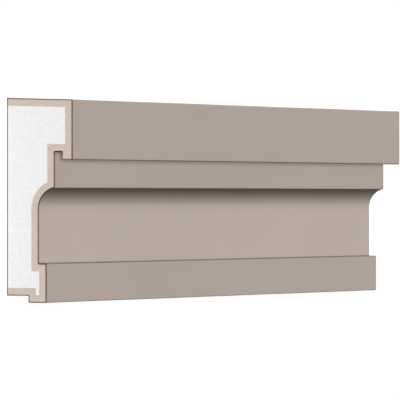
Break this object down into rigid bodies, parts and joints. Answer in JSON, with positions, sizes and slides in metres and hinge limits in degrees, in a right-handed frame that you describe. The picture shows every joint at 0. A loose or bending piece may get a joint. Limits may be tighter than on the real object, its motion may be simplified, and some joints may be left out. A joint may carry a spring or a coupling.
{
  "type": "window sill moulding",
  "caption": "Straight exterior window sill moulding of coated foam, with a drip lip under its fascia, a frieze, a cove, a flat body and a bottom band with a nose.",
  "frame": {"origin": "middle of the back face, which the moulding lies on; on a wall this face is against the wall", "axes": "+X runs along the length, +Y is up on the wall, from the nose to the top of the sill, and +Z stands out from the wall"},
  "size_m": [0.7, 0.15, 0.0519],
  "materials": {
    "foam": "matte",
    "coat": "matte"
  },
  "bodies": {
    "root": {"foam_core": "foam", "hard_coat": "coat"}
  },
  "joints": []
}
